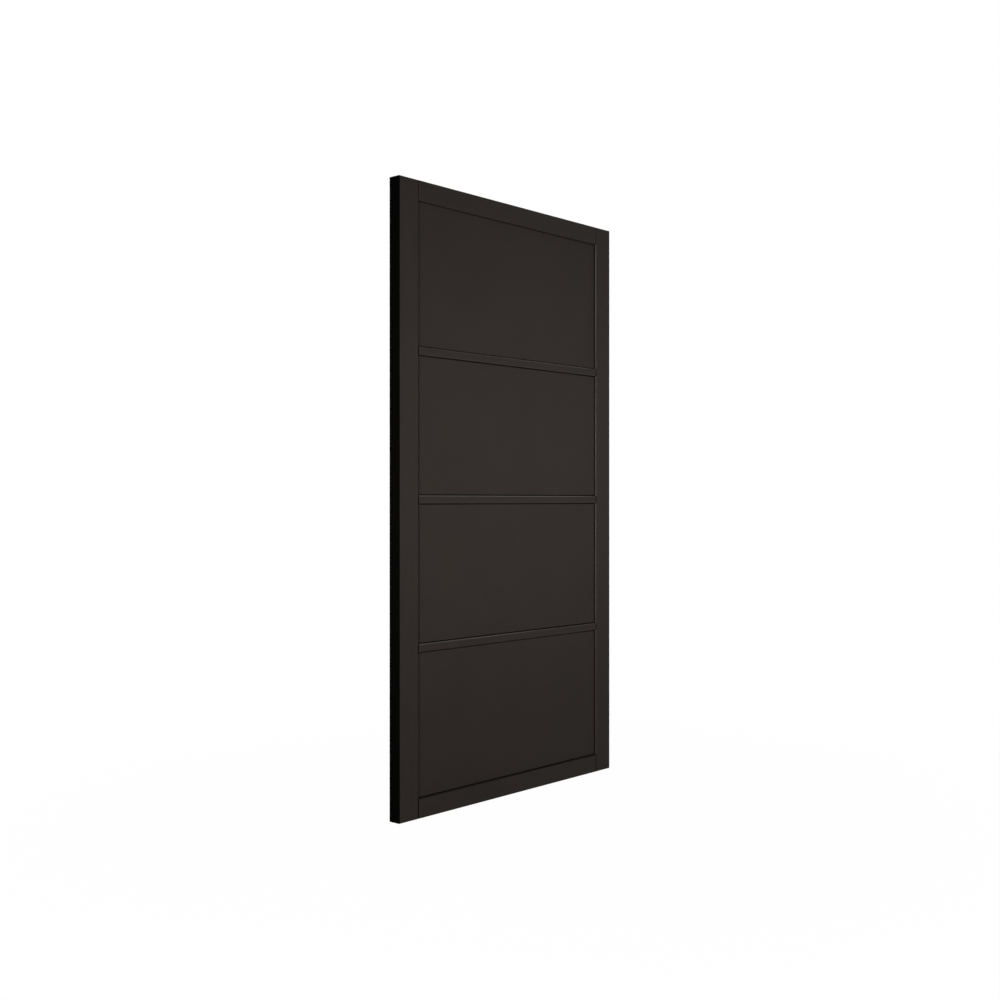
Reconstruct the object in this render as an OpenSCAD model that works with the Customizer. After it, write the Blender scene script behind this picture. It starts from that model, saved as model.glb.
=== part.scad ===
// Interior door leaf: a dowelled stile-and-rail frame with three slim bars,
// which hold four flat panels set back behind a narrow shadow gap.
// X runs across the leaf, the front faces -Y and Z is up, in millimetres.
// The origin is the middle of the bottom edge.

/* [Leaf] */
// Width of the leaf over both lippings
leaf_w = 1067; // [900:1:1200]
// Height of the leaf
leaf_h = 1981; // [1900:1:2134]
// Thickness of the leaf
leaf_t = 44; // [40:1:54]
// Chamfer that eases the outer arrises of the leaf
leaf_arris = 1; // [0.5:0.25:2]

/* [Frame members] */
// Sight width of each stile, lipping included
stile_w = 83; // [70:1:130]
// Thickness of the lipping glued to each long edge
lipping_t = 8; // [4:0.5:12]
// Sight width of the top and bottom rails
rail_w = 62; // [56:1:150]
// Sight width of each bar
bar_w = 25; // [22:0.5:60]
// Distance between the centre lines of neighbouring bars
bar_pitch = 462; // [420:0.5:490]
// Bevel on every frame arris that faces a panel
sight_bevel = 2.5; // [2.5:0.25:3.5]
// Width and depth of the V line that is left at each joint
joint_line = 2.25; // [0.5:0.25:2.25]

/* [Panels] */
// Depth of each panel face below the frame face
panel_recess = 5; // [4:0.25:9]
// Width of the shadow gap round each panel
shadow_gap = 3; // [1.5:0.25:5]
// Chamfer that eases the panel arrises
panel_arris = 0.75; // [0.25:0.25:1.5]

/* [Joinery] */
// Width of the groove that holds the panels and the stub tenons
groove_w = 14; // [13:0.5:18]
// Depth of that groove
groove_d = 8; // [6:0.25:9]
// Diameter of the dowels in the rails
rail_dowel_d = 10; // [8:1:12]
// Length of the dowels in the rails
rail_dowel_len = 100; // [60:5:110]
// Distance between the two dowels of a rail joint
rail_dowel_spacing = 28; // [20:1:36]
// Diameter of the dowels in the bars
bar_dowel_d = 8; // [6:1:10]
// Length of the dowels in the bars
bar_dowel_len = 60; // [40:5:100]
// Number of glue flutes round a dowel
flute_count = 12; // [6:1:20]
// Depth of those flutes, which are square V cuts
flute_depth = 0.4; // [0.2:0.05:0.6]
// Length of the taper at each end of a dowel
dowel_taper = 1.5; // [0.5:0.25:2.5]

/* [Clearances] */
// Play on each cheek of a tongue in its groove
tongue_play = 0.2; // [0.1:0.05:0.4]
// Room between a panel and the bottom of its groove
panel_end_play = 0.8; // [0.5:0.1:2]
// Room between a stub tenon and the bottom of its groove
tenon_end_play = 0.3; // [0.1:0.1:1]
// Glue film round a dowel
dowel_play = 0.1; // [0.05:0.05:0.3]
// Glue pocket past each end of a dowel
dowel_end_play = 0.8; // [0.5:0.1:3]

/* [Hidden] */

$fn = 48;
face_colour = "#33302C";
edge_colour = "#0B0A0A";
dowel_colour = "#C9A26B";

// How far a cutter runs past the face that it opens
overrun = 1;
// Where a rail or bar shoulder meets its stile, from the middle of the leaf
shoulder_x = leaf_w / 2 - stile_w;
// Width of a stile without its lipping
stile_core_w = stile_w - lipping_t;
// Thickness of the panel edges and the stub tenons that run in the grooves
tongue_t = groove_w - 2 * tongue_play;
// How far a stub tenon stands out of its shoulder
tenon_len = groove_d - tenon_end_play;
// How far a panel reaches into the grooves
panel_tongue = groove_d - panel_end_play;
// Clear width between the stiles
sight_w = 2 * shoulder_x;
// How far the coped end of a rail or bar laps over the bevel of its stile
cope_lap = sight_bevel - joint_line;
// Heights of the bar centre lines, from the top one down
bar_z = [for (step = [1, 0, -1]) leaf_h / 2 + step * bar_pitch];
// Lower and upper sight lines of each opening, from the top one down
sight_lines = [
    [bar_z[0] + bar_w / 2, leaf_h - rail_w],
    [bar_z[1] + bar_w / 2, bar_z[0] - bar_w / 2],
    [bar_z[2] + bar_w / 2, bar_z[1] - bar_w / 2],
    [rail_w, bar_z[2] - bar_w / 2]
];
// Middle of the solid part of a rail, past its groove, from its outer edge
rail_core_middle = (rail_w - groove_d) / 2;
// Middle of the cheek between the groove and the face
cheek_y = (groove_w + leaf_t) / 4;

// Outline of a board from x = 0 to x = w, centred on its thickness t,
// with a bevel of near at the arrises of its x = 0 edge and of far at the others.
function board_outline(w, t, near, far) = [
    [near, -t / 2], [w - far, -t / 2],
    if (far > 0) [w, far - t / 2],
    [w, t / 2 - far],
    if (far > 0) [w - far, t / 2],
    [near, t / 2],
    if (near > 0) [0, t / 2 - near],
    if (near > 0) [0, near - t / 2]
];

// The leaf as one block with its outer arrises eased, which trims every outer member.
module leaf_block() {
    intersection() {
        translate([-leaf_w / 2, 0, 0])
            linear_extrude(leaf_h) polygon(board_outline(leaf_w, leaf_t, leaf_arris, leaf_arris));
        along_x(leaf_w) polygon(board_outline(leaf_h, leaf_t, leaf_arris, leaf_arris));
    }
}

// Extrudes an outline drawn as (height, thickness) along X, centred on the leaf.
module along_x(length) {
    rotate([0, -90, 0]) linear_extrude(length, center = true) children();
}

// One edge groove, drawn as (depth, thickness), that opens at depth = 0 towards negative depth.
module groove_outline() {
    translate([-overrun, -groove_w / 2]) square([groove_d + overrun, groove_w]);
}

// A fluted dowel with tapered ends, along X and centred on the joint.
module dowel(d, length) {
    fluted_len = length - 2 * dowel_taper;
    tip_r = d / 2 - 2 * flute_depth;
    rotate([0, 90, 0]) {
        linear_extrude(fluted_len, center = true) difference() {
            circle(d = d);
            for (k = [0 : flute_count - 1])
                rotate(k * 360 / flute_count) translate([d / 2, 0]) circle(r = flute_depth, $fn = 4);
        }
        for (end = [0, 1]) mirror([0, 0, end]) translate([0, 0, fluted_len / 2])
            cylinder(r1 = tip_r, r2 = tip_r - dowel_taper / 2, h = dowel_taper);
    }
}

// The hole that a dowel of this size is glued into, shared by the two pieces that it joins.
module dowel_hole(d, length) {
    rotate([0, 90, 0])
        cylinder(d = d + 2 * dowel_play, h = length + 2 * dowel_end_play, center = true);
}

// Places its children at the two dowels of both joints of a rail.
module at_rail_dowels(rail_middle) {
    for (side = [-1, 1], step = [-1, 1])
        translate([side * shoulder_x, 0, rail_middle + step * rail_dowel_spacing / 2]) children();
}

module at_all_rail_dowels() {
    at_rail_dowels(leaf_h - rail_core_middle) children();
    at_rail_dowels(rail_core_middle) children();
}

// Places its children at the two dowels, one in each cheek, of both joints of a bar.
module at_bar_dowels(height) {
    for (side = [-1, 1], cheek = [-1, 1])
        translate([side * shoulder_x, cheek * cheek_y, height]) children();
}

module rail_dowels() {
    color(dowel_colour) at_all_rail_dowels() dowel(rail_dowel_d, rail_dowel_len);
}

module bar_dowels() {
    color(dowel_colour)
        for (height = bar_z) at_bar_dowels(height) dowel(bar_dowel_d, bar_dowel_len);
}

// The left stile: grooved along its inner edge and bored for every dowel on its side.
module stile() {
    color(face_colour) intersection() {
        leaf_block();
        difference() {
            translate([-leaf_w / 2 + lipping_t, 0, 0]) linear_extrude(leaf_h) difference() {
                polygon(board_outline(stile_core_w, leaf_t, 0, sight_bevel));
                translate([stile_core_w, 0]) mirror([1, 0]) groove_outline();
            }
            at_all_rail_dowels() dowel_hole(rail_dowel_d, rail_dowel_len);
            for (height = bar_z) at_bar_dowels(height) dowel_hole(bar_dowel_d, bar_dowel_len);
        }
    }
}

// The left lipping, a plain strip glued to the outer edge of the stile.
module lipping() {
    color(edge_colour) intersection() {
        leaf_block();
        translate([-leaf_w / 2, -leaf_t / 2, 0]) cube([lipping_t, leaf_t, leaf_h]);
    }
}

// One end of a rail or bar seen from above, from the front face to the back face:
// square down to the joint line, coped over the bevel of the stile, and square at the shoulder.
function coped_end(side) = let (
    shoulder = side * sight_w / 2, lap = shoulder + side * cope_lap, face = leaf_t / 2
) [
    [lap, -face], [lap, joint_line - face], [shoulder, sight_bevel - face],
    [shoulder, face - sight_bevel], [lap, face - joint_line], [lap, face]
];

// A cross member between the stiles, from an outline drawn as (height, thickness).
// Its ends are coped, and its core runs on into a stub tenon at each end.
module cross_member(tenon_low, tenon_high) {
    left_end = coped_end(-1);
    intersection() {
        along_x(sight_w + 2 * cope_lap) children();
        linear_extrude(leaf_h)
            polygon([each coped_end(1), for (k = [len(left_end) - 1 : -1 : 0]) left_end[k]]);
    }
    translate([-sight_w / 2 - tenon_len, -tongue_t / 2, tenon_low])
        cube([sight_w + 2 * tenon_len, tongue_t, tenon_high - tenon_low]);
}

// The bottom rail, grooved along its upper edge.
module rail() {
    color(face_colour) intersection() {
        leaf_block();
        difference() {
            cross_member(0, rail_w - groove_d) difference() {
                polygon(board_outline(rail_w, leaf_t, 0, sight_bevel));
                translate([rail_w, 0]) mirror([1, 0]) groove_outline();
            }
            at_rail_dowels(rail_core_middle) dowel_hole(rail_dowel_d, rail_dowel_len);
        }
    }
}

// A bar at this height, grooved along both edges.
module bar(height) {
    bottom = height - bar_w / 2;
    color(face_colour) difference() {
        cross_member(bottom + groove_d, bottom + bar_w - groove_d) translate([bottom, 0]) difference() {
            polygon(board_outline(bar_w, leaf_t, sight_bevel, sight_bevel));
            groove_outline();
            translate([bar_w, 0]) mirror([1, 0]) groove_outline();
        }
        at_bar_dowels(height) dowel_hole(bar_dowel_d, bar_dowel_len);
    }
}

// A flat panel between two sight lines, with a thinner edge all round that runs in the grooves.
module panel(lines) {
    sight_h = lines[1] - lines[0];
    field_w = sight_w - 2 * shadow_gap;
    field_h = sight_h - 2 * shadow_gap;
    field_t = leaf_t - 2 * panel_recess;
    color(face_colour) translate([0, 0, lines[0]]) {
        translate([0, 0, shadow_gap]) intersection() {
            translate([-field_w / 2, 0, 0]) linear_extrude(field_h)
                polygon(board_outline(field_w, field_t, panel_arris, panel_arris));
            along_x(field_w) polygon(board_outline(field_h, field_t, panel_arris, panel_arris));
        }
        translate([-sight_w / 2 - panel_tongue, -tongue_t / 2, -panel_tongue])
            cube([sight_w + 2 * panel_tongue, tongue_t, sight_h + 2 * panel_tongue]);
    }
}

// Turns a piece of the bottom half over into its twin in the top half.
module flipped() {
    translate([0, 0, leaf_h]) mirror([0, 0, 1]) children();
}

stile();  // left_stile
mirror([1, 0, 0]) stile();  // right_stile
lipping();  // left_lipping
mirror([1, 0, 0]) lipping();  // right_lipping
flipped() rail();  // top_rail
rail();  // bottom_rail
bar(bar_z[0]);  // upper_bar
bar(bar_z[1]);  // middle_bar
bar(bar_z[2]);  // lower_bar
panel(sight_lines[0]);  // top_panel
panel(sight_lines[1]);  // upper_panel
panel(sight_lines[2]);  // lower_panel
panel(sight_lines[3]);  // bottom_panel
rail_dowels();
bar_dowels();
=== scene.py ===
"""Dresses an interior door leaf: painted stiles, rails, bars and panels in a white studio."""

import logging
import math
from dataclasses import dataclass
from enum import Enum
from typing import Any, ClassVar, Optional, Sequence, Union

import bmesh
import bpy
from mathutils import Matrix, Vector


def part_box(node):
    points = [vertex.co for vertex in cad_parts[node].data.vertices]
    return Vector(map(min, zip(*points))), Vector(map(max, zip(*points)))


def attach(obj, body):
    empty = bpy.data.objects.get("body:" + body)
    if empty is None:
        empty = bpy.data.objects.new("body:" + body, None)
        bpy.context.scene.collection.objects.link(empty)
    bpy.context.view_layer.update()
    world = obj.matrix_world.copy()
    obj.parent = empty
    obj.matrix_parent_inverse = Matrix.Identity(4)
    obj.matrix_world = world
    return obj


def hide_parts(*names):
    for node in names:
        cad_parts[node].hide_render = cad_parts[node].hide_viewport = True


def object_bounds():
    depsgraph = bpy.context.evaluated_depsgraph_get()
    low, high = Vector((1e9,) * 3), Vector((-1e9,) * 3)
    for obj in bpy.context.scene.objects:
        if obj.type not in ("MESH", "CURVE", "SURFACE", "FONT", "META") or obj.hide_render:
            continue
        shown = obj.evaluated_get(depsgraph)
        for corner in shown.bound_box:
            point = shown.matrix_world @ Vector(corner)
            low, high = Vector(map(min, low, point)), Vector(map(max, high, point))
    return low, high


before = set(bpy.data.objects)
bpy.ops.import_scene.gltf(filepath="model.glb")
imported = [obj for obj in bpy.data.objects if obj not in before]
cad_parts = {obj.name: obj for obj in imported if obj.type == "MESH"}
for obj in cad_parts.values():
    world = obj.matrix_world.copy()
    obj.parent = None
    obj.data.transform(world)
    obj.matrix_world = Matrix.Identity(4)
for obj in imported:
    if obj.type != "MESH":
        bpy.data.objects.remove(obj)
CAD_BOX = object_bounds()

LOG = logging.getLogger("door_leaf")
BODY = "root"
MM = 0.001

Point = tuple[float, float, float]
Colour = tuple[float, float, float]
Shade = tuple[float, float, float, float]
Span = tuple[float, float]
Socket = bpy.types.NodeSocket
Feed = Union[float, Sequence[float], "Field", Socket]

WHITE: Colour = (1.0, 1.0, 1.0)
WARM_BLACK: Colour = (0.0262, 0.0208, 0.0179)
# Black edge paint, made darker than paint can be so that it also paints in the shade of the edges.
EDGE_BLACK_AND_SHADE: Colour = (0.0018, 0.0017, 0.0016)
GRAIN_STRETCH = 0.02
NOISE_MEAN = 0.5
NOISE_SPAN: Span = (0.3, 0.7)


class Lay(Enum):
    """Which way the timber under the paint runs, as the scale of its grain along each axis."""

    UPRIGHT = (1.0, 1.0, GRAIN_STRETCH)
    LEVEL = (GRAIN_STRETCH, 1.0, 1.0)
    NONE = (1.0, 1.0, 1.0)


class Field:
    """A number that varies over a surface, so that shader maths reads as Python."""

    def __init__(self, graph: "Graph", socket: Socket) -> None:
        """Wraps an output socket of a graph."""
        self.graph = graph
        self.socket = socket

    def _maths(self, operation: str, left: Feed, right: Feed) -> "Field":
        """Adds one Math node.

        Args:
            operation: The Math node's operation.
            left: Its first value or link.
            right: Its second value or link.

        Returns:
            The node's result.
        """
        node = self.graph.node("ShaderNodeMath", {"operation": operation}, {0: left, 1: right})
        return Field(self.graph, node.outputs[0])

    def __add__(self, other: Feed) -> "Field":
        """Adds a number or a field."""
        return self._maths("ADD", self, other)

    def __radd__(self, other: Feed) -> "Field":
        """Adds this field to a number."""
        return self._maths("ADD", other, self)

    def __sub__(self, other: Feed) -> "Field":
        """Takes a number or a field away."""
        return self._maths("SUBTRACT", self, other)

    def __rsub__(self, other: Feed) -> "Field":
        """Takes this field away from a number."""
        return self._maths("SUBTRACT", other, self)

    def __mul__(self, other: Feed) -> "Field":
        """Multiplies by a number or a field."""
        return self._maths("MULTIPLY", self, other)

    def __rmul__(self, other: Feed) -> "Field":
        """Multiplies a number by this field."""
        return self._maths("MULTIPLY", other, self)

    def __abs__(self) -> "Field":
        """Gives the size of the number without its sign."""
        return self._maths("ABSOLUTE", self, 0.0)

    def most(self, other: Feed) -> "Field":
        """Gives the larger of this field and another."""
        return self._maths("MAXIMUM", self, other)

    def ramp(self, low: float, high: float) -> "Field":
        """Runs smoothly from 0 where the number is low to 1 where it is high.

        Args:
            low: The number that becomes 0.
            high: The number that becomes 1, which may be the smaller one.

        Returns:
            The clamped ramp.
        """
        node = self.graph.node(
            "ShaderNodeMapRange",
            {"interpolation_type": "SMOOTHSTEP"},
            {"Value": self, "From Min": low, "From Max": high},
        )
        return Field(self.graph, node.outputs["Result"])

    def within(self, span: Span, blur: float) -> "Field":
        """Tells where the number lies between two others.

        Args:
            span: The lower and the higher of them.
            blur: The distance outside them over which the answer runs out.

        Returns:
            1 between them, and 0 away from them.
        """
        low, high = span
        return (abs(self - (low + high) / 2) - (high - low) / 2).ramp(blur, 0.0)


class Graph:
    """A node tree that is written as expressions."""

    MIX_FACTOR: ClassVar[int] = 0
    MIX_COLOURS: ClassVar[tuple[int, int]] = (6, 7)
    MIX_RESULT: ClassVar[int] = 2

    def __init__(self, tree: bpy.types.NodeTree) -> None:
        """Empties a node tree and takes it over."""
        self.tree = tree
        tree.nodes.clear()

    @classmethod
    def of_material(cls, name: str) -> tuple["Graph", bpy.types.Material]:
        """Makes a new material.

        Args:
            name: The material's name.

        Returns:
            Its empty graph and the material.
        """
        material = bpy.data.materials.new(name)
        material.use_nodes = True
        return cls(material.node_tree), material

    def node(
        self,
        kind: str,
        settings: Optional[dict[str, Any]] = None,
        inputs: Optional[dict[Union[str, int], Feed]] = None,
    ) -> bpy.types.Node:
        """Adds a node.

        Args:
            kind: The node's type.
            settings: Its properties, which are set first.
            inputs: The values or links of its sockets, by name or number.

        Returns:
            The node.
        """
        node = self.tree.nodes.new(kind)
        for name, value in (settings or {}).items():
            setattr(node, name, value)
        for key, value in (inputs or {}).items():
            self.feed(node.inputs[key], value)
        return node

    def feed(self, socket: Socket, value: Feed) -> None:
        """Links or sets one input socket.

        Args:
            socket: The input.
            value: A link, or a constant that is set on the socket itself.
        """
        if isinstance(value, Field):
            self.tree.links.new(value.socket, socket)
        elif isinstance(value, Socket):
            self.tree.links.new(value, socket)
        else:
            socket.default_value = value

    def place(self) -> Socket:
        """Gives where a point of the surface lies, in metres."""
        return self.node("ShaderNodeTexCoord").outputs["Object"]

    def along(self, place: Socket, lay: Lay) -> Socket:
        """Draws coordinates out along the grain of the timber.

        Args:
            place: The coordinates.
            lay: The way that the timber runs.

        Returns:
            The new coordinates.
        """
        settings, inputs = {"operation": "MULTIPLY"}, {0: place, 1: lay.value}
        return self.node("ShaderNodeVectorMath", settings, inputs).outputs[0]

    def noise(self, place: Socket, scale: float, detail: float) -> Field:
        """Adds a noise texture.

        Args:
            place: The coordinates that it reads.
            scale: Its cells per metre.
            detail: Its octaves.

        Returns:
            The noise, from 0 to 1.
        """
        inputs = {"Vector": place, "Scale": scale, "Detail": detail}
        return Field(self, self.node("ShaderNodeTexNoise", None, inputs).outputs[0])

    def bump(self, height: Field, depth: float, under: Optional[Socket] = None) -> Socket:
        """Roughens a surface.

        Args:
            height: The relief, from 0 to 1.
            depth: How deep it is, in metres.
            under: A coarser relief that it lies on.

        Returns:
            The normal of the rough surface.
        """
        inputs: dict[Union[str, int], Feed] = {"Distance": depth, "Height": height}
        if under is not None:
            inputs["Normal"] = under
        return self.node("ShaderNodeBump", None, inputs).outputs[0]

    def blend(self, factor: Feed, first: Feed, second: Feed) -> Socket:
        """Mixes two colours.

        Args:
            factor: 0 gives the first colour and 1 the second.
            first: A colour or a link.
            second: A colour or a link.

        Returns:
            The mixed colour.
        """
        one, two = self.MIX_COLOURS
        inputs = {self.MIX_FACTOR: factor, one: first, two: second}
        return self.node("ShaderNodeMix", {"data_type": "RGBA"}, inputs).outputs[self.MIX_RESULT]

    def facing(self) -> tuple[Field, Field, Field]:
        """Gives how far a face looks across the leaf, through it and up or down, from 0 to 1."""
        normal = self.node("ShaderNodeNewGeometry").outputs["True Normal"]
        return tuple(abs(side) for side in self.split(normal))

    def split(self, vector: Socket) -> tuple[Field, Field, Field]:
        """Gives the three parts of a vector."""
        parts = self.node("ShaderNodeSeparateXYZ", None, {0: vector}).outputs
        return tuple(Field(self, part) for part in parts)

    def surface(self, shader: Socket, kind: str = "ShaderNodeOutputMaterial") -> None:
        """Ends the graph in an output node."""
        self.node(kind, None, {"Surface": shader})


def opaque(colour: Colour) -> Shade:
    """Gives a colour its alpha."""
    return (*colour, 1.0)


@dataclass(frozen=True)
class Seam:
    """The line where a rail or a bar meets the stiles, alike at both its ends.

    Attributes:
        across: Where the line lies, as distances from the middle of the leaf, in metres.
        up: Heights of its lower and upper end, in metres.
    """

    across: Span
    up: Span

    def line(self, graph: Graph, place: Socket, blur: float) -> Field:
        """Draws the line.

        Args:
            graph: The graph of the material that shows the line.
            place: Where a point of the surface lies.
            blur: The distance over which the line runs out.

        Returns:
            1 on the line, and 0 away from it.
        """
        wide, _, height = graph.split(place)
        return abs(wide).within(self.across, blur) * height.within(self.up, blur)


@dataclass(frozen=True)
class Paint:
    """A sprayed paint, with painted light and shade along the arrises, in the quirks and on the
    seams.

    Attributes:
        colour: The colour on the faces.
        roughness: The mean roughness.
        roughness_drift: How far the roughness drifts over the faces.
        specular: Strength of the plain reflection.
        mottle: How far the colour drifts to either side.
        mottle_scale: Cloudy patches per metre.
        mottle_detail: Octaves of the patches.
        mottle_share: The patches' part in the mottle, beside the grain's.
        grain_scale: Grain lines per metre.
        grain_detail: Octaves of the grain.
        grain_depth: Depth of the grain, in metres.
        peel_scale: Cells of orange peel per metre.
        peel_detail: Octaves of the orange peel.
        peel_depth: Depth of the orange peel, in metres.
        arris_turn: How squarely a surface looks along an axis, beside an arris and on it.
        arris_painted_light: Tint painted on the arrises, a painted highlight above 1 and painted
            shade below 1.
        arris_cover: How much of that painted tint shows.
        arris_polish: How much smoother the arrises are.
        arris_coat: How glossy the arrises are polished by rubbing.
        coat_roughness: Roughness of that gloss.
        quirk_painted_shade: Shade painted into the quirks, which paints light there where it is
            above 1.
        quirk_start: Depth below the face where that painted shade begins, in metres.
        quirk_depth: Depth where the painted shade is at its strongest, in metres.
        end_shade: Shade of the top and bottom edge of the leaf.
        end_reach: How far those edges reach into the leaf, in metres.
        seam_painted_shade: Shade painted along the seams.
        seam_blur: Distance over which a seam runs out, in metres.
    """

    colour: Colour
    roughness: float = 0.56
    roughness_drift: float = 0.12
    specular: float = 0.05
    mottle: float = 0.13
    mottle_scale: float = 5.0
    mottle_detail: float = 4.0
    mottle_share: float = 0.4
    grain_scale: float = 420.0
    grain_detail: float = 3.0
    grain_depth: float = 0.08 * MM
    peel_scale: float = 650.0
    peel_detail: float = 1.0
    peel_depth: float = 0.05 * MM
    arris_turn: Span = (0.985, 0.82)
    arris_painted_light: float = 1.2
    arris_cover: float = 0.5
    arris_polish: float = 0.1
    arris_coat: float = 0.2
    coat_roughness: float = 0.2
    quirk_painted_shade: float = 0.35
    quirk_start: float = 1.2 * MM
    quirk_depth: float = 3.2 * MM
    end_shade: float = 0.35
    end_reach: float = 1.0 * MM
    seam_painted_shade: float = 0.08
    seam_blur: float = 1.4 * MM

    def tint(self, factor: float) -> Shade:
        """Gives a lighter or darker shade of the paint."""
        return opaque(tuple(channel * factor for channel in self.colour))

    def painted_quirk_and_end_colour(self, graph: Graph, height: Field) -> Feed:
        """Gives the colour below the faces, with painted light and shade in the quirks.

        Args:
            graph: The graph of the material that wears the paint.
            height: Height above the foot of the leaf.

        Returns:
            The colour with painted shade in the quirks, and the ends' own at the head and the foot
            of the leaf.
        """
        quirk = self.tint(self.quirk_painted_shade)
        if self.quirk_painted_shade == self.end_shade:
            return quirk
        foot, head = (corner[2] for corner in CAD_BOX)
        between = (foot + self.end_reach, head - self.end_reach)
        return graph.blend(height.within(between, self.end_reach), self.tint(self.end_shade), quirk)

    def shader(self, graph: Graph, lay: Lay, face: float, seams: Sequence[Seam] = ()) -> Socket:
        """Adds the paint to a graph.

        Args:
            graph: The graph of the material that wears the paint.
            lay: The way that the timber under the paint runs.
            face: Distance of the painted face from the middle of the leaf's thickness.
            seams: The joint lines, along which shade is painted in and around the V-grooves.

        Returns:
            The paint's shader.
        """
        place = graph.place()
        _, thick, height = graph.split(place)
        cloud = graph.noise(place, self.mottle_scale, self.mottle_detail)
        grain = graph.noise(graph.along(place, lay), self.grain_scale, self.grain_detail)
        peel = graph.noise(place, self.peel_scale, self.peel_detail)
        across, through, upward = graph.facing()
        arris = across.most(through).most(upward).ramp(*self.arris_turn)
        depth = (face - abs(thick)).ramp(self.quirk_start, self.quirk_depth)
        patches = self.mottle_share * cloud.ramp(*NOISE_SPAN)
        streaks = (1.0 - self.mottle_share) * grain.ramp(*NOISE_SPAN)
        dark, pale = self.tint(1.0 - self.mottle), self.tint(1.0 + self.mottle)
        colour = graph.blend(patches + streaks, dark, pale)
        # Painted highlight on the arrises where the tint is above 1, and painted shade where it is
        # below 1.
        colour = graph.blend(arris * self.arris_cover, colour, self.tint(self.arris_painted_light))
        # Painted shade in the quirks below the faces, which is painted light where the tint is
        # above 1; the leaf's top and bottom edges keep their own darker colour.
        colour = graph.blend(depth, colour, self.painted_quirk_and_end_colour(graph, height))
        coat: Feed = arris * self.arris_coat if self.arris_coat else 0.0
        for seam in seams:
            line = seam.line(graph, place, self.seam_blur)
            # Painted shade along the joint lines, in and around the V-grooves.
            colour = graph.blend(line, colour, self.tint(self.seam_painted_shade))
            if self.arris_coat:
                coat = coat * (1.0 - line)
        drift = self.roughness_drift * (cloud - NOISE_MEAN)
        ridges = graph.bump(grain, self.grain_depth)
        return graph.node(
            "ShaderNodeBsdfPrincipled",
            None,
            {
                "Base Color": colour,
                "Roughness": self.roughness + drift - self.arris_polish * arris,
                "Specular IOR Level": self.specular,
                "Coat Weight": coat,
                "Coat Roughness": self.coat_roughness,
                "Normal": graph.bump(peel, self.peel_depth, ridges),
            },
        ).outputs[0]


def painted(
    name: str, paint: Paint, lay: Lay, face: float, seams: Sequence[Seam] = ()
) -> bpy.types.Material:
    """Makes a material of one paint.

    Args:
        name: The material's name.
        paint: The paint.
        lay: The way that the timber under it runs.
        face: Distance of the painted face from the middle of the leaf's thickness.
        seams: The lines where its pieces meet.

    Returns:
        The material.
    """
    graph, material = Graph.of_material(name)
    graph.surface(paint.shader(graph, lay, face, seams))
    return material


def lipped(
    name: str, broad: Paint, edge: Paint, face: float, lap: Span, square_on: Span = (0.95, 0.99)
) -> bpy.types.Material:
    """Makes the material of a lipping, whose edge has a blacker paint than its faces, dark enough
    to paint in the edge's shade too.

    Args:
        name: The material's name.
        broad: The paint on the front and the back.
        edge: The black paint on the edges, which also paints in their shade and laps onto the front
            and the back.
        face: Distance of the front from the middle of the leaf's thickness.
        lap: Distances from the middle of the leaf between which one paint gives way to the other.
        square_on: How squarely a surface looks forward or back before it counts as a face.

    Returns:
        The material.
    """
    graph, material = Graph.of_material(name)
    inner, outer = lap
    wide, _, _ = graph.split(graph.place())
    _, through, _ = graph.facing()
    # The edges' black paint, which also paints in their shade, laps onto the faces.
    mixed = graph.node(
        "ShaderNodeMixShader",
        None,
        {
            0: through.ramp(*square_on) * abs(wide).ramp(outer, inner),
            1: edge.shader(graph, Lay.UPRIGHT, face),
            2: broad.shader(graph, Lay.UPRIGHT, face),
        },
    )
    graph.surface(mixed.outputs[0])
    return material


@dataclass(frozen=True)
class Beech:
    """Bare beech, as in bought dowels.

    Attributes:
        name: The material's name.
        pale: Colour between the grain lines.
        dark: Colour of the grain lines.
        roughness: The mean roughness.
        roughness_drift: How far the roughness follows the grain.
        grain_scale: Grain lines per metre.
        grain_detail: Octaves of the grain.
        grain_depth: Depth of the grain, in metres.
    """

    name: str = "bare_beech"
    pale: Colour = (0.62, 0.40, 0.19)
    dark: Colour = (0.47, 0.27, 0.11)
    roughness: float = 0.62
    roughness_drift: float = 0.15
    grain_scale: float = 900.0
    grain_detail: float = 4.0
    grain_depth: float = 0.02 * MM

    def material(self) -> bpy.types.Material:
        """Builds the timber.

        Returns:
            The finished material.
        """
        graph, material = Graph.of_material(self.name)
        along = graph.along(graph.place(), Lay.LEVEL)
        grain = graph.noise(along, self.grain_scale, self.grain_detail)
        shader = graph.node(
            "ShaderNodeBsdfPrincipled",
            None,
            {
                "Base Color": graph.blend(grain, opaque(self.dark), opaque(self.pale)),
                "Roughness": self.roughness + self.roughness_drift * (grain - NOISE_MEAN),
                "Normal": graph.bump(grain, self.grain_depth),
            },
        )
        graph.surface(shader.outputs[0])
        return material


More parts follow.
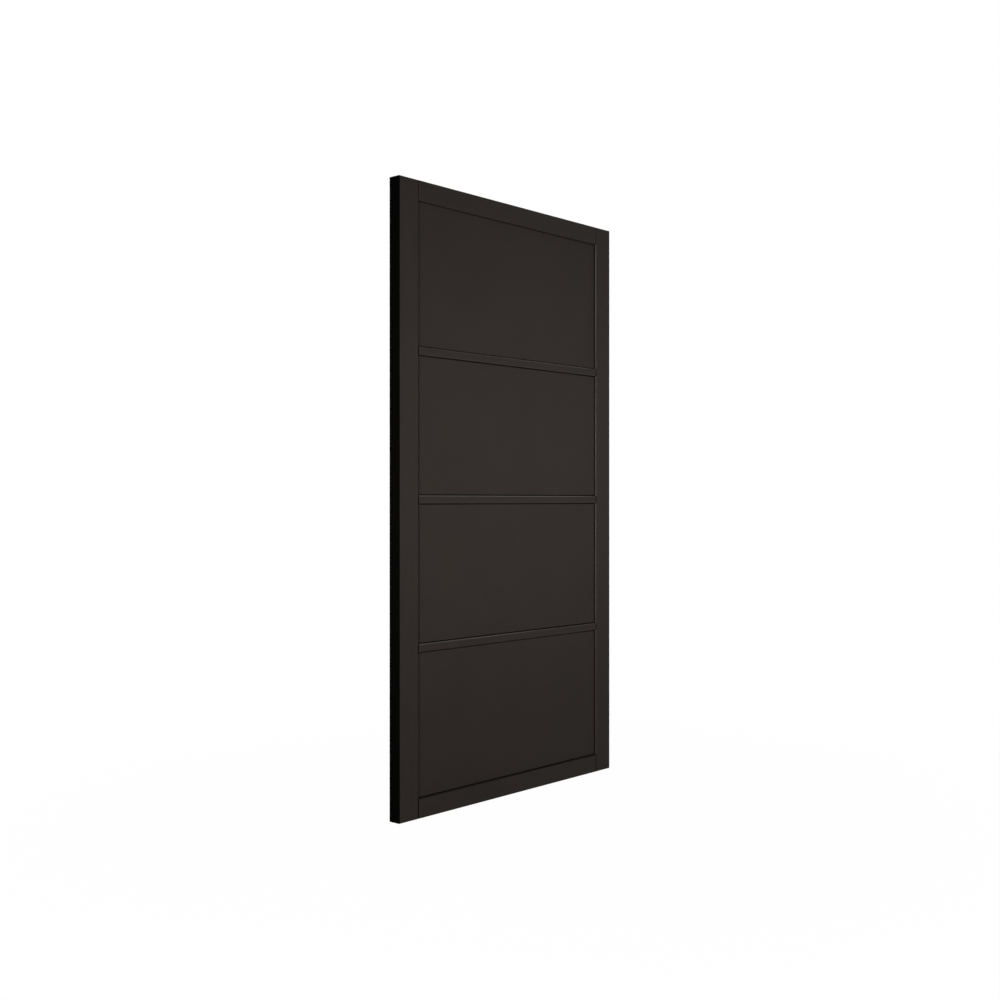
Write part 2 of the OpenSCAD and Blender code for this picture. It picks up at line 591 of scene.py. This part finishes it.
@dataclass
class Joinery:
    """Makes the visible pieces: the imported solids, with arrises as round as paint leaves them.

    Attributes:
        arris_radius: Radius of the arrises, in metres.
        arris_steps: Facets round an arris.
        arris_profile: Roundness of an arris, where 0.5 is a circle.
        weld: Distance under which points are one, in metres.
        flat_angle: Angle under which neighbouring facets are one face.
        sharp_angle: Angle over which an edge is an arris.
        square_angle: Angle over which an edge is shaded sharp.
        shortest_arris: Length that an edge needs before it is rounded, in metres.
        arris_reach: Depth below the face down to which edges are rounded, in metres.
        same_plane: Distance under which a point lies in a plane, in metres.
        broad_face_weight: How strongly the broad faces lead the shading.
    """

    arris_radius: float = 0.5 * MM
    arris_steps: int = 3
    arris_profile: float = 0.5
    weld: float = 0.002 * MM
    flat_angle: float = math.radians(1.0)
    sharp_angle: float = math.radians(25.0)
    square_angle: float = math.radians(35.0)
    shortest_arris: float = 1.25 * MM
    arris_reach: float = 4.0 * MM
    same_plane: float = 0.05 * MM
    broad_face_weight: int = 100

    def is_flush(self, edge: bmesh.types.BMEdge, planes: Sequence[float]) -> bool:
        """Tells whether an edge lies in an upright plane where two pieces meet flush.

        Args:
            edge: The edge.
            planes: Distances of those planes from the middle of the leaf.

        Returns:
            True where both ends of the edge lie in one of the planes, on one side of the leaf.
        """
        here, there = (vertex.co.x for vertex in edge.verts)
        if abs(here - there) > self.same_plane:
            return False
        return any(abs(abs(here) - plane) < self.same_plane for plane in planes)

    def has_room(self, edge: bmesh.types.BMEdge) -> bool:
        """Tells whether an edge and the edges that meet it are long enough to round it."""
        near = (link for vertex in edge.verts for link in vertex.link_edges)
        return all(link.calc_length() > self.shortest_arris for link in near)

    def shows(self, edge: bmesh.types.BMEdge, face: float) -> bool:
        """Tells whether both ends of an edge lie near the front or the back of its piece."""
        return all(abs(vertex.co.y) > face - self.arris_reach for vertex in edge.verts)

    def form(self, node: str, face: float, flush: Sequence[float]) -> bpy.types.Mesh:
        """Makes the mesh of a piece.

        Args:
            node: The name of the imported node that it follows.
            face: Distance of its front from the middle of the leaf's thickness.
            flush: Planes across the leaf in which its edges stay square.

        Returns:
            The node's form with its arrises rounded.
        """
        form = bmesh.new()
        form.from_mesh(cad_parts[node].data)
        bmesh.ops.remove_doubles(form, verts=form.verts, dist=self.weld)
        bmesh.ops.dissolve_limit(
            form, angle_limit=self.flat_angle, verts=form.verts, edges=form.edges
        )
        arrises = [
            edge
            for edge in form.edges
            if edge.is_manifold
            and edge.is_convex
            and edge.calc_face_angle() > self.sharp_angle
            and self.shows(edge, face)
            and self.has_room(edge)
            and not self.is_flush(edge, flush)
        ]
        bmesh.ops.bevel(
            form,
            geom=arrises,
            offset=self.arris_radius,
            segments=self.arris_steps,
            profile=self.arris_profile,
            affect="EDGES",
            clamp_overlap=True,
        )
        for facet in form.faces:
            facet.smooth = True
        for edge in form.edges:
            edge.smooth = edge.is_manifold and edge.calc_face_angle() < self.square_angle
        mesh = bpy.data.meshes.new(f"painted_{node}")
        form.to_mesh(mesh)
        form.free()
        return mesh

    def piece(
        self,
        node: str,
        material: bpy.types.Material,
        face: float,
        flush: Sequence[float] = (),
    ) -> bpy.types.Object:
        """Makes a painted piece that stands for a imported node.

        Args:
            node: The node's name.
            material: The piece's finish.
            face: Distance of its front from the middle of the leaf's thickness.
            flush: Planes across the leaf in which its edges stay square.

        Returns:
            The new piece.
        """
        mesh = self.form(node, face, flush)
        mesh.materials.append(material)
        piece = bpy.data.objects.new(f"painted_{node}", mesh)
        bpy.context.scene.collection.objects.link(piece)
        normals = piece.modifiers.new("even_faces", "WEIGHTED_NORMAL")
        normals.weight = self.broad_face_weight
        normals.keep_sharp = True
        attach(piece, BODY)
        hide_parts(node)
        LOG.info("%s: %d faces", piece.name, len(mesh.polygons))
        return piece


@dataclass
class Leaf:
    """The door leaf: stiles with lippings, rails, bars and panels, and the dowels inside.

    Attributes:
        joinery: What makes the pieces.
        rubbed_and_highlit: Paint of the stiles and the bars, glossier along the arrises from
            rubbing and lighter there as a painted highlight.
        shaded_arrises: Paint of the bottom rail and the inner panels, with painted shade along the
            arrises and in the quirks.
        lit_quirks: Paint of the top rail and the outer panels, with painted light in the quirks.
        edge: Paint of the lippings' edges, black and dark enough to paint in their shade too.
        face_slack: Distance from the face under which a point belongs to it, in metres.
        seam_margin: How far a seam's painted shade reaches past the joint on either side, in
            metres.
        top_seam_margin: The same at the top rail, where the line is finer.
        edge_lap: How far the edges' black paint and painted shade lap onto the faces, in metres.
        lap_blur: Distance over which the lap runs out, in metres.
    """

    STILES: ClassVar[tuple[str, ...]] = ("left_stile", "right_stile")
    LIPPINGS: ClassVar[tuple[str, ...]] = ("left_lipping", "right_lipping")
    BARS: ClassVar[tuple[str, ...]] = ("upper_bar", "middle_bar", "lower_bar")
    INNER_PANELS: ClassVar[tuple[str, ...]] = ("upper_panel", "lower_panel")
    OUTER_PANELS: ClassVar[tuple[str, ...]] = ("top_panel", "bottom_panel")
    DOWELS: ClassVar[tuple[str, ...]] = ("rail_dowels", "bar_dowels")

    joinery: Joinery
    # Lighter along the arrises as a painted highlight, and glossier there.
    rubbed_and_highlit: Paint = Paint(WARM_BLACK)
    # Painted shade along the arrises and in the quirks.
    shaded_arrises: Paint = Paint(WARM_BLACK, arris_painted_light=0.15, arris_cover=1.0, arris_coat=0.0)
    # Painted light in the quirks, paler than the faces.
    lit_quirks: Paint = Paint(WARM_BLACK, arris_painted_light=1.0, arris_coat=0.0, quirk_painted_shade=2.0)
    # Black edge paint that also paints in the edges' shade.
    edge: Paint = Paint(EDGE_BLACK_AND_SHADE, specular=0.0, arris_coat=0.0, quirk_painted_shade=1.0, end_shade=1.0)
    face_slack: float = 0.1 * MM
    seam_margin: float = 0.7 * MM
    top_seam_margin: float = -0.4 * MM
    edge_lap: float = 2.7 * MM
    lap_blur: float = 0.4 * MM

    def front(self, node: str, face: float) -> Span:
        """Gives where the front of a node lies across the leaf.

        Args:
            node: The node's name.
            face: Distance of its front from the middle of the leaf's thickness.

        Returns:
            The least and the greatest distance of the front's corners from the middle of the leaf.
        """
        points = (vertex.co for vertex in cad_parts[node].data.vertices)
        reach = [abs(point.x) for point in points if abs(point.y) > face - self.face_slack]
        return min(reach), max(reach)

    def seams(self, face: float) -> list[Seam]:
        """Finds the lines where the rails and bars meet the stiles.

        Args:
            face: Distance of the front from the middle of the leaf's thickness.

        Returns:
            One seam for each rail and bar.
        """
        stile = self.front("right_stile", face)[0]
        seams = []
        for node in ("top_rail", "bottom_rail", *self.BARS):
            low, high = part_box(node)
            margin = self.top_seam_margin if node == "top_rail" else self.seam_margin
            across = (self.front(node, face)[1] - margin, stile + margin)
            seams.append(Seam(across, (low[2], high[2])))
        return seams

    def build(self) -> None:
        """Makes and dresses every piece of the leaf."""
        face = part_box("left_stile")[1][1]
        self.uprights(face)
        self.cross_pieces(face)
        self.panels()
        self.dowels()

    def uprights(self, face: float) -> None:
        """Makes the stiles and their lippings.

        Args:
            face: Distance of the front from the middle of the leaf's thickness.
        """
        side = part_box("right_lipping")[1][0]
        glue_line = (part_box("right_lipping")[0][0],)
        lap = (side - self.edge_lap, side - self.edge_lap + self.lap_blur)
        upright = painted("upright_paint", self.rubbed_and_highlit, Lay.UPRIGHT, face, self.seams(face))
        edge = lipped("edge_paint", self.rubbed_and_highlit, self.edge, face, lap)
        for node in self.STILES:
            self.joinery.piece(node, upright, face, glue_line)
        for node in self.LIPPINGS:
            self.joinery.piece(node, edge, face, glue_line)

    def cross_pieces(self, face: float) -> None:
        """Makes the rails and the bars.

        Args:
            face: Distance of the front from the middle of the leaf's thickness.
        """
        shoulders = (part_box("right_stile")[0][0], self.front("top_rail", face)[1])
        seams = self.seams(face)
        head = painted("head_paint", self.lit_quirks, Lay.LEVEL, face, seams)
        foot = painted("foot_paint", self.shaded_arrises, Lay.LEVEL, face, seams)
        level = painted("level_paint", self.rubbed_and_highlit, Lay.LEVEL, face, seams)
        finishes = {"top_rail": head, "bottom_rail": foot, **dict.fromkeys(self.BARS, level)}
        for node, finish in finishes.items():
            self.joinery.piece(node, finish, face, shoulders)

    def panels(self) -> None:
        """Makes the panels, with painted shade along the arrises of the inner two and painted light
        in the quirks of the outer two.
        """
        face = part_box("top_panel")[1][1]
        inner = painted("inner_board_paint", self.shaded_arrises, Lay.NONE, face)
        outer = painted("outer_board_paint", self.lit_quirks, Lay.NONE, face)
        for node in self.INNER_PANELS:
            self.joinery.piece(node, inner, face)
        for node in self.OUTER_PANELS:
            self.joinery.piece(node, outer, face)

    def dowels(self) -> None:
        """Gives the dowels inside the joints their bare timber."""
        beech = Beech().material()
        for node in self.DOWELS:
            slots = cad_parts[node].data.materials
            slots.clear()
            slots.append(beech)
            LOG.info("%s: bare beech", node)


@dataclass
class Softbox:
    """One soft studio lamp.

    Attributes:
        name: The lamp's name.
        place: Where it hangs, in metres.
        aim: The point that it faces, in metres.
        width: Its width, in metres.
        height: Its height, in metres.
        watts: Its power.
        spread: The angle that its light fills.
    """

    name: str
    place: Point
    aim: Point
    width: float
    height: float
    watts: float
    spread: float = math.pi

    def build(self) -> None:
        """Hangs the lamp and turns it to its aim."""
        lamp = bpy.data.lights.new(self.name, "AREA")
        lamp.shape = "RECTANGLE"
        lamp.size = self.width
        lamp.size_y = self.height
        lamp.energy = self.watts
        lamp.spread = self.spread
        holder = bpy.data.objects.new(self.name, lamp)
        holder.location = self.place
        beam = Vector(self.aim) - Vector(self.place)
        holder.rotation_euler = beam.to_track_quat("-Z", "Y").to_euler()
        holder.visible_camera = False
        bpy.context.scene.collection.objects.link(holder)


@dataclass
class Studio:
    """The white studio: floor, surroundings, lamps and camera.

    Attributes:
        lens_mm: Focal length of the camera.
        sensor_mm: Width of its sensor.
        stand: Where it stands, in metres.
        level_deg: Its tilt from straight down, which is level.
        turn_deg: Its turn to the right of the leaf's normal.
        floor_half: Half of the floor's side, in metres.
        floor_colour: Colour of the floor.
        floor_lift: How far the floor is lifted to white beside the leaf.
        fade_near: Distance from the leaf where the floor begins to fade to white, in metres.
        fade_far: Distance where it is white, in metres.
        ambient: Strength of the light that the surroundings give.
    """

    lens_mm: float = 44.75
    sensor_mm: float = 36.0
    stand: Point = (-3.1544, -2.7797, 0.9889)
    level_deg: float = 90.0
    turn_deg: float = 48.1774
    floor_half: float = 30.0
    floor_colour: Colour = (0.72, 0.72, 0.72)
    floor_lift: float = 0.985
    fade_near: float = 0.7
    fade_far: float = 2.4
    ambient: float = 0.09

    def build(self) -> None:
        """Sets up the whole studio."""
        self.surroundings()
        self.floor()
        for lamp in self.lamps():
            lamp.build()
        self.camera()
        bpy.context.scene.view_settings.view_transform = "Standard"

    def lamps(self) -> list[Softbox]:
        """Gives the soft lamps."""
        return [
            Softbox(
                "key", place=(-3.00, -0.98, 1.08), aim=(0.9, -0.1, 0.98),
                width=0.40, height=0.9, watts=19.0, spread=1.3,
            ),
            Softbox(
                "front", place=(1.00, -2.20, 1.40), aim=(0.20, 0.0, 1.12),
                width=0.8, height=0.8, watts=2.3, spread=1.0,
            ),
            Softbox(
                "high", place=(-1.95, -3.20, 2.45), aim=(0.45, 0.0, 1.7),
                width=0.3, height=0.8, watts=16.0,
            ),
            Softbox(
                "low", place=(-1.95, -3.20, 0.95), aim=(0.45, 0.0, 1.0),
                width=0.3, height=1.7, watts=15.0,
            ),
            Softbox(
                "top", place=(2.10, -0.18, 3.15), aim=(0.0, 0.0, 0.95),
                width=0.6, height=1.3, watts=9.5,
            ),
            Softbox(
                "back", place=(1.10, 3.30, 1.50), aim=(0.0, 0.0, 1.0),
                width=1.6, height=1.6, watts=95.0,
            ),
        ]

    @staticmethod
    def shown(graph: Graph) -> Field:
        """Tells the rays that see the surroundings from those that only carry their light.

        Args:
            graph: The graph of the floor or of the surroundings.

        Returns:
            1 for the rays that see them, and 0 for the others.
        """
        rays = graph.node("ShaderNodeLightPath").outputs
        seen = Field(graph, rays["Is Camera Ray"]).most(Field(graph, rays["Is Glossy Ray"]))
        return seen.most(Field(graph, rays["Is Transmission Ray"]))

    def surroundings(self) -> None:
        """Makes a white background that gives a softer light than it shows."""
        world = bpy.data.worlds.new("white_studio")
        world.use_nodes = True
        bpy.context.scene.world = world
        graph = Graph(world.node_tree)
        strength = self.ambient + (1.0 - self.ambient) * self.shown(graph)
        shader = graph.node(
            "ShaderNodeBackground", None, {"Color": opaque(WHITE), "Strength": strength}
        )
        graph.surface(shader.outputs[0], "ShaderNodeOutputWorld")

    def floor(self) -> None:
        """Lays a pale floor that takes a shadow near the leaf and runs out to white."""
        graph, material = Graph.of_material("pale_floor")
        away = graph.node("ShaderNodeVectorMath", {"operation": "LENGTH"}, {0: graph.place()})
        far = Field(graph, away.outputs["Value"]).ramp(self.fade_near, self.fade_far)
        lift = self.floor_lift + (1.0 - self.floor_lift) * far
        matt = graph.node("ShaderNodeBsdfDiffuse", None, {"Color": opaque(self.floor_colour)})
        white = graph.node("ShaderNodeEmission", None, {"Strength": 1.0})
        mixed = graph.node(
            "ShaderNodeMixShader",
            None,
            {0: self.shown(graph) * lift, 1: matt.outputs[0], 2: white.outputs[0]},
        )
        graph.surface(mixed.outputs[0])
        mesh = bpy.data.meshes.new("floor")
        half = self.floor_half
        corners = [(-half, -half, 0.0), (half, -half, 0.0), (half, half, 0.0), (-half, half, 0.0)]
        mesh.from_pydata(corners, [], [(0, 1, 2, 3)])
        mesh.materials.append(material)
        floor = bpy.data.objects.new("floor", mesh)
        bpy.context.scene.collection.objects.link(floor)

    def camera(self) -> None:
        """Stands the camera level, at the height of the middle of the leaf."""
        data = bpy.data.cameras.new("camera")
        data.sensor_width = self.sensor_mm
        data.lens = self.lens_mm
        holder = bpy.data.objects.new("camera", data)
        holder.location = self.stand
        holder.rotation_euler = (math.radians(self.level_deg), 0.0, -math.radians(self.turn_deg))
        bpy.context.scene.collection.objects.link(holder)
        bpy.context.scene.camera = holder


def main() -> None:
    """Builds the studio and the leaf."""
    logging.basicConfig(level=logging.INFO, format="%(name)s: %(message)s")
    Studio().build()
    Leaf(Joinery()).build()


if __name__ == "__main__":
    main()
